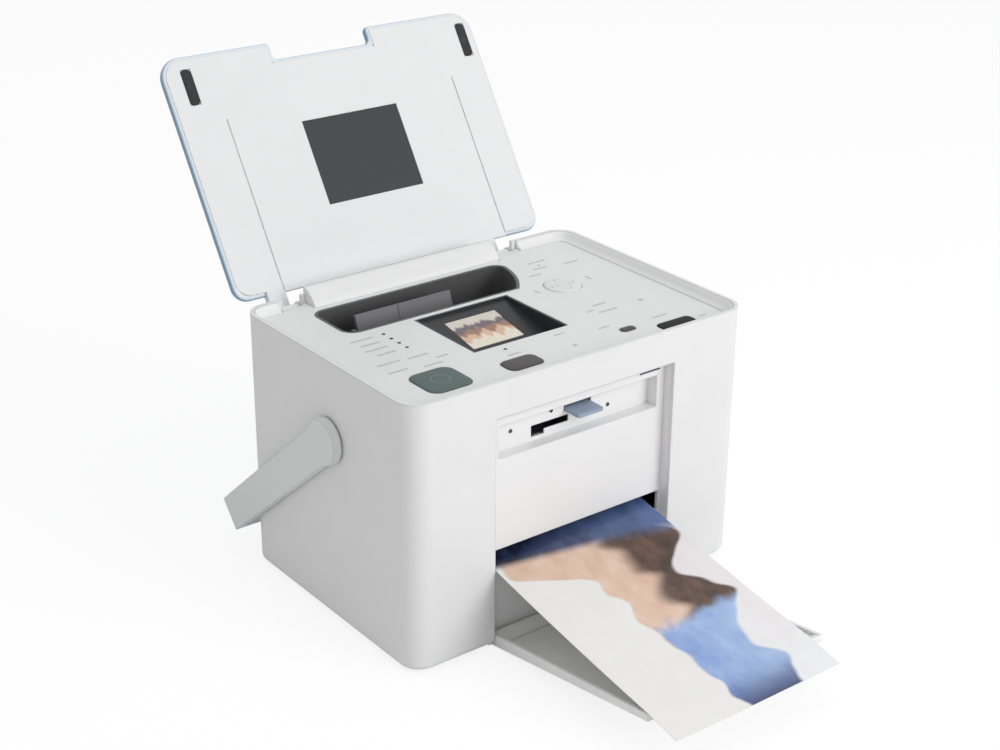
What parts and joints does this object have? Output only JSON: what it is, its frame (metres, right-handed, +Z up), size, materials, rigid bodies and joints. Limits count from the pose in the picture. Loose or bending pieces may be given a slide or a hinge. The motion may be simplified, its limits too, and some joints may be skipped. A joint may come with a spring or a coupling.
{
  "type": "compact photo printer",
  "caption": "Small white desktop photo printer with its lid leaned back, its carrying handle swung to the rear and a print lying on its folding front tray.",
  "frame": {"origin": "on the table, under the middle of the casing", "axes": "+X to the right seen from the front, +Y to the rear, +Z up"},
  "size_m": [0.217, 0.3642, 0.2471],
  "materials": {
    "white_casing": "fine satin moulded grain",
    "white_panel": "semi-gloss",
    "pale_handle": "satin",
    "lid_blue": "clear-coated blue edge",
    "lid_white": "satin",
    "dark_window": "smoked gloss",
    "black_rubber": "matt",
    "dark_frame": "gloss",
    "screen": "lit colour screen",
    "green_key": "satin",
    "grey_key": "satin",
    "black_plastic": "fine grain",
    "grey_plastic": "satin",
    "ivory_plastic": "moulded acetal",
    "clear_pipe": "clear",
    "blue_card": "satin",
    "circuit_board": "solder mask",
    "sheet_steel": "zinc plated",
    "steel": "ground",
    "brass": "turned",
    "roller_rubber": "matt",
    "photo_paper": "glossy photo paper"
  },
  "bodies": {
    "casing": {"casing": "white_casing", "base_plate": "white_casing", "rubber_feet": "black_rubber", "casing_screws": "steel", "control_panel": "white_panel", "front_fascia": "white_casing", "card_panel": "white_casing", "memory_card": "blue_card", "ir_window": "dark_window", "lcd_frame": "dark_frame", "lcd_screen": "screen", "light_pipes": "clear_pipe", "slot_liner": "black_plastic", "hopper_plate": "grey_plastic", "panel_board": "circuit_board", "main_board": "circuit_board", "card_reader": "sheet_steel", "usb_port": "sheet_steel", "power_inlet": "black_plastic", "chassis": "sheet_steel", "guide_shaft": "steel", "carriage_motor": "sheet_steel", "belt": "black_plastic", "feed_motor": "sheet_steel", "roller_bushes": "ivory_plastic", "platen": "black_plastic", "capping_station": "grey_plastic", "cartridge_bay": "grey_plastic", "ink_cartridge": "black_plastic", "photo_print": "photo_paper", "hinge_pins": "steel"},
    "lid": {"lid_cover": "lid_blue", "lid_panel": "lid_white", "lid_window": "dark_window", "lid_pads": "black_rubber"},
    "handle": {"handle": "pale_handle", "handle_pins": "pale_handle"},
    "tray": {"output_tray": "white_casing"},
    "door": {"cartridge_door": "white_casing"},
    "guide": {"edge_guide": "black_plastic"},
    "carriage": {"carriage": "black_plastic", "print_head": "grey_plastic"},
    "drive_pulley": {"drive_pulley": "brass"},
    "idler_pulley": {"idler_pulley": "ivory_plastic"},
    "main_roller": {"main_roller": "roller_rubber", "main_gear": "ivory_plastic"},
    "exit_roller": {"exit_roller": "roller_rubber", "exit_gear": "ivory_plastic"},
    "pickup_roller": {"pickup_roller": "roller_rubber", "pickup_gear": "ivory_plastic"},
    "pickup_idler": {"pickup_idler": "ivory_plastic"},
    "exit_idler": {"exit_idler": "ivory_plastic"},
    "motor_pinion": {"motor_pinion": "brass"},
    "pinch_rollers": {"pinch_rollers": "roller_rubber"},
    "star_wheels": {"star_wheels": "sheet_steel"},
    "print_button": {"print_button": "green_key"},
    "display_button": {"display_button": "grey_key"},
    "power_button": {"power_button": "black_plastic"},
    "menu_button": {"menu_button": "grey_key"},
    "navigation_pad": {"navigation_pad": "white_panel"}
  },
  "joints": [
    {"name": "lid_hinge", "type": "hinge", "parent": "casing", "child": "lid", "pos_m": [0, 0.0741, 0.131], "axis": [1, 0, 0], "range_deg": [0, 123]},
    {"name": "handle_swing", "type": "hinge", "parent": "casing", "child": "handle", "pos_m": [0, -0.006, 0.0995], "axis": [1, 0, 0], "range_deg": [0, 52]},
    {"name": "tray_fold", "type": "hinge", "parent": "casing", "child": "tray", "pos_m": [0, -0.0695, 0.0035], "axis": [-1, 0, 0], "range_deg": [0, 81], "deforming": ["photo_print"]},
    {"name": "door_hinge", "type": "hinge", "parent": "casing", "child": "door", "pos_m": [0.075, 0.0708, 0.0466], "axis": [-1, 0, 0], "range_deg": [0, 90]},
    {"name": "guide_slide", "type": "slide", "parent": "casing", "child": "guide", "axis": [1, 0, 0], "range_m": [0, 0.012]},
    {"name": "carriage_slide", "type": "slide", "parent": "casing", "child": "carriage", "axis": [-1, 0, 0], "range_m": [0, 0.12]},
    {"name": "main_roller_spin", "type": "hinge", "parent": "casing", "child": "main_roller", "pos_m": [0, 0.008, 0.044], "axis": [1, 0, 0], "continuous": true},
    {"name": "exit_idler_spin", "type": "hinge", "parent": "casing", "child": "exit_idler", "pos_m": [0, -0.0204, 0.044], "axis": [1, 0, 0], "continuous": true},
    {"name": "exit_roller_spin", "type": "hinge", "parent": "casing", "child": "exit_roller", "pos_m": [0, -0.0436, 0.044], "axis": [1, 0, 0], "continuous": true},
    {"name": "pickup_idler_spin", "type": "hinge", "parent": "casing", "child": "pickup_idler", "pos_m": [0, 0.008, 0.068], "axis": [1, 0, 0], "continuous": true},
    {"name": "pickup_roller_spin", "type": "hinge", "parent": "casing", "child": "pickup_roller", "pos_m": [0, 0.01418, 0.08702], "axis": [1, 0, 0], "continuous": true},
    {"name": "motor_pinion_spin", "type": "hinge", "parent": "casing", "child": "motor_pinion", "pos_m": [0, 0.02393, 0.03063], "axis": [1, 0, 0], "continuous": true},
    {"name": "pinch_rollers_spin", "type": "hinge", "parent": "casing", "child": "pinch_rollers", "pos_m": [0, 0.008, 0.05325], "axis": [1, 0, 0], "continuous": true},
    {"name": "star_wheels_spin", "type": "hinge", "parent": "casing", "child": "star_wheels", "pos_m": [0, -0.0436, 0.0513], "axis": [1, 0, 0], "continuous": true},
    {"name": "drive_pulley_spin", "type": "hinge", "parent": "casing", "child": "drive_pulley", "pos_m": [-0.0785, -0.0415, 0.078], "axis": [0, 1, 0], "range_deg": [0, 1150]},
    {"name": "idler_pulley_spin", "type": "hinge", "parent": "casing", "child": "idler_pulley", "pos_m": [0.0785, -0.0415, 0.078], "axis": [0, 1, 0], "range_deg": [0, 1150]},
    {"name": "print_button_press", "type": "slide", "parent": "casing", "child": "print_button", "axis": [0, 0, -1], "range_m": [0, 0.001], "stiffness_N_per_m": 700},
    {"name": "display_button_press", "type": "slide", "parent": "casing", "child": "display_button", "axis": [0, 0, -1], "range_m": [0, 0.001], "stiffness_N_per_m": 700},
    {"name": "power_button_press", "type": "slide", "parent": "casing", "child": "power_button", "axis": [0, 0, -1], "range_m": [0, 0.001], "stiffness_N_per_m": 700},
    {"name": "menu_button_press", "type": "slide", "parent": "casing", "child": "menu_button", "axis": [0, 0, -1], "range_m": [0, 0.001], "stiffness_N_per_m": 700},
    {"name": "navigation_pad_press", "type": "slide", "parent": "casing", "child": "navigation_pad", "axis": [0, 0, -1], "range_m": [0, 0.001], "stiffness_N_per_m": 700}
  ],
  "couplings": [
    {"joint": "exit_idler_spin", "follows": "main_roller_spin", "ratio": -1.2903},
    {"joint": "exit_roller_spin", "follows": "main_roller_spin", "ratio": 1.4815},
    {"joint": "pickup_idler_spin", "follows": "main_roller_spin", "ratio": -2},
    {"joint": "pickup_roller_spin", "follows": "main_roller_spin", "ratio": 1.3333},
    {"joint": "motor_pinion_spin", "follows": "main_roller_spin", "ratio": -3.3333},
    {"joint": "pinch_rollers_spin", "follows": "main_roller_spin", "ratio": -2},
    {"joint": "star_wheels_spin", "follows": "main_roller_spin", "ratio": -1.9753},
    {"joint": "drive_pulley_spin", "follows": "carriage_slide", "rad_per_m": 166.67},
    {"joint": "idler_pulley_spin", "follows": "carriage_slide", "rad_per_m": 166.67}
  ]
}
